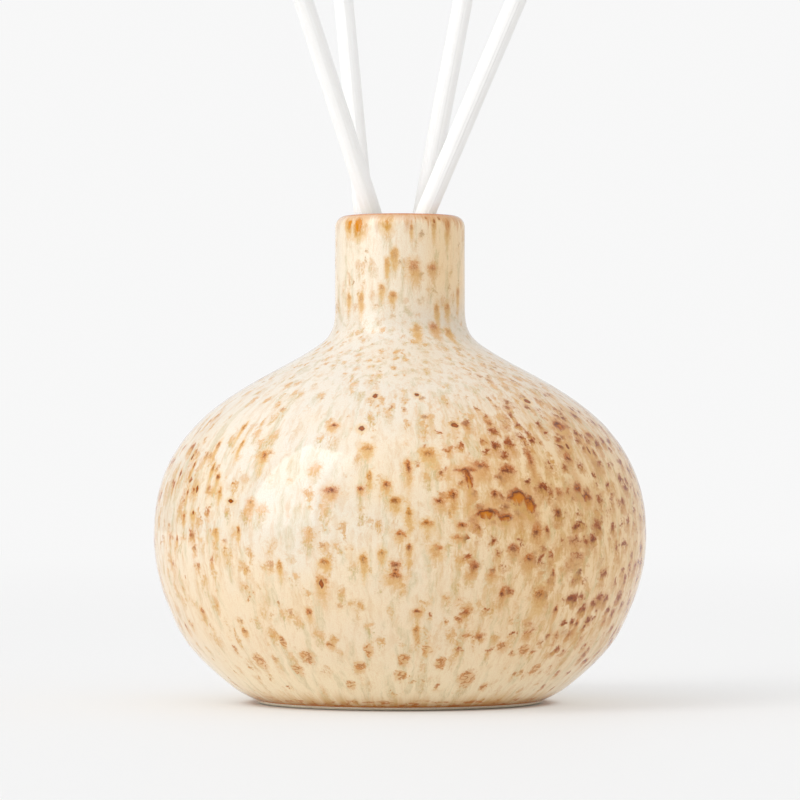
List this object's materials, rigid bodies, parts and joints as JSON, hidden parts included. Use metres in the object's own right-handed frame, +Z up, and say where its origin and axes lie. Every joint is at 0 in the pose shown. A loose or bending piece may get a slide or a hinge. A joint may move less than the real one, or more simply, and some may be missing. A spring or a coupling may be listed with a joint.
{
  "type": "reed diffuser",
  "caption": "Squat rounded ceramic bottle with a short straight neck and speckled glaze, holding slender white reeds that fan out from its mouth.",
  "frame": {"origin": "centre of the bottle's foot, on the surface it stands on", "axes": "+Z up along the bottle's axis; -Y is the front, +X is to the right seen from the front"},
  "size_m": [0.1002, 0.1002, 0.2048],
  "materials": {
    "glaze": "gloss",
    "fibre": "matte"
  },
  "bodies": {
    "bottle": {"bottle": "glaze"},
    "reed_front_left": {"reed_front_left": "fibre"},
    "reed_front_right": {"reed_front_right": "fibre"},
    "reed_back_left": {"reed_back_left": "fibre"},
    "reed_back_right": {"reed_back_right": "fibre"}
  },
  "joints": [
    {"name": "reed_front_left_lift", "type": "slide", "parent": "bottle", "child": "reed_front_left", "axis": [-0.3012, -0.2129, 0.9295], "range_m": [0, 0.11]},
    {"name": "reed_front_right_lift", "type": "slide", "parent": "bottle", "child": "reed_front_right", "axis": [0.3926, -0.0248, 0.9194], "range_m": [0, 0.11]},
    {"name": "reed_back_left_lift", "type": "slide", "parent": "bottle", "child": "reed_back_left", "axis": [-0.0942, 0.0843, 0.992], "range_m": [0, 0.11]},
    {"name": "reed_back_right_lift", "type": "slide", "parent": "bottle", "child": "reed_back_right", "axis": [0.1866, 0.0295, 0.982], "range_m": [0, 0.11]}
  ]
}
